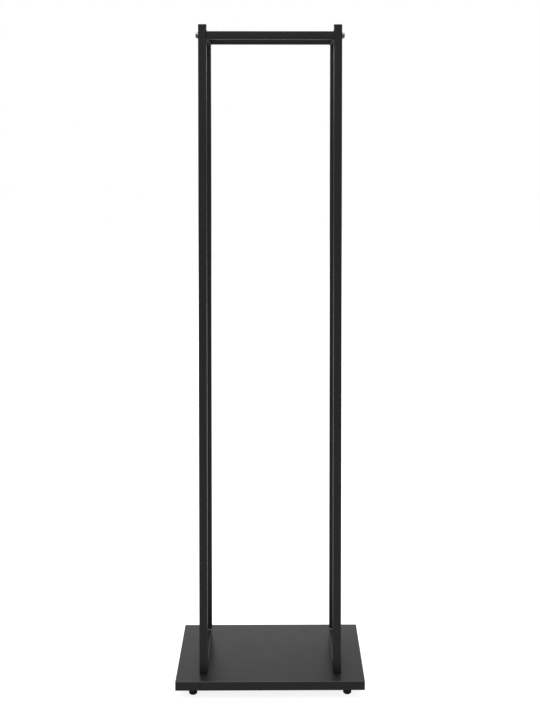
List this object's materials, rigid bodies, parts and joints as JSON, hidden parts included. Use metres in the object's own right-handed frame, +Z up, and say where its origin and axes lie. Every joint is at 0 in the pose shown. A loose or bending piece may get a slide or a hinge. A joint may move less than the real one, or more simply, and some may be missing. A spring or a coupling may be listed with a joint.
{
  "type": "coat rack",
  "caption": "Standing coat rack: welded square-tube side frames joined by bolted crossbars on a flat folded-steel base with levelling feet, satin black",
  "frame": {"origin": "on the floor, under the middle of the base", "axes": "+Z up, front towards -Y, +X to the right seen from the front"},
  "size_m": [0.466, 0.32, 1.655],
  "materials": {
    "powder_coat": "satin black powder coat, slightly textured",
    "zinc_plate": "bright zinc plate",
    "cap_plastic": "moulded matt black polyethylene",
    "foot_rubber": "hard matt black rubber"
  },
  "bodies": {
    "rack": {"base_pan": "powder_coat", "front_crossbar": "powder_coat", "rear_crossbar": "powder_coat", "left_top_rail": "powder_coat", "right_top_rail": "powder_coat", "left_bottom_rail": "powder_coat", "right_bottom_rail": "powder_coat", "front_left_post": "powder_coat", "front_left_foot_gusset": "powder_coat", "front_right_post": "powder_coat", "front_right_foot_gusset": "powder_coat", "rear_left_post": "powder_coat", "rear_left_foot_gusset": "powder_coat", "rear_right_post": "powder_coat", "rear_right_foot_gusset": "powder_coat", "front_left_crossbar_bolt": "zinc_plate", "front_left_crossbar_washer": "zinc_plate", "front_left_crossbar_plug": "zinc_plate", "front_left_post_nut_block": "zinc_plate", "front_left_base_bolt": "zinc_plate", "front_left_base_washer": "zinc_plate", "front_left_foot_nut": "zinc_plate", "front_right_crossbar_bolt": "zinc_plate", "front_right_crossbar_washer": "zinc_plate", "front_right_crossbar_plug": "zinc_plate", "front_right_post_nut_block": "zinc_plate", "front_right_base_bolt": "zinc_plate", "front_right_base_washer": "zinc_plate", "front_right_foot_nut": "zinc_plate", "rear_left_crossbar_bolt": "zinc_plate", "rear_left_crossbar_washer": "zinc_plate", "rear_left_crossbar_plug": "zinc_plate", "rear_left_post_nut_block": "zinc_plate", "rear_left_base_bolt": "zinc_plate", "rear_left_base_washer": "zinc_plate", "rear_left_foot_nut": "zinc_plate", "rear_right_crossbar_bolt": "zinc_plate", "rear_right_crossbar_washer": "zinc_plate", "rear_right_crossbar_plug": "zinc_plate", "rear_right_post_nut_block": "zinc_plate", "rear_right_base_bolt": "zinc_plate", "rear_right_base_washer": "zinc_plate", "rear_right_foot_nut": "zinc_plate", "front_left_post_cap": "cap_plastic", "front_right_post_cap": "cap_plastic", "rear_left_post_cap": "cap_plastic", "rear_right_post_cap": "cap_plastic"},
    "front_left_foot": {"front_left_foot_pad": "foot_rubber", "front_left_foot_stud": "zinc_plate"},
    "front_right_foot": {"front_right_foot_pad": "foot_rubber", "front_right_foot_stud": "zinc_plate"},
    "rear_left_foot": {"rear_left_foot_pad": "foot_rubber", "rear_left_foot_stud": "zinc_plate"},
    "rear_right_foot": {"rear_right_foot_pad": "foot_rubber", "rear_right_foot_stud": "zinc_plate"}
  },
  "joints": [
    {"name": "front_left_foot_screw", "type": "slide", "parent": "rack", "child": "front_left_foot", "axis": [0, 0, 1], "range_m": [0, 0.0075]},
    {"name": "front_right_foot_screw", "type": "slide", "parent": "rack", "child": "front_right_foot", "axis": [0, 0, 1], "range_m": [0, 0.0075]},
    {"name": "rear_left_foot_screw", "type": "slide", "parent": "rack", "child": "rear_left_foot", "axis": [0, 0, 1], "range_m": [0, 0.0075]},
    {"name": "rear_right_foot_screw", "type": "slide", "parent": "rack", "child": "rear_right_foot", "axis": [0, 0, 1], "range_m": [0, 0.0075]}
  ]
}
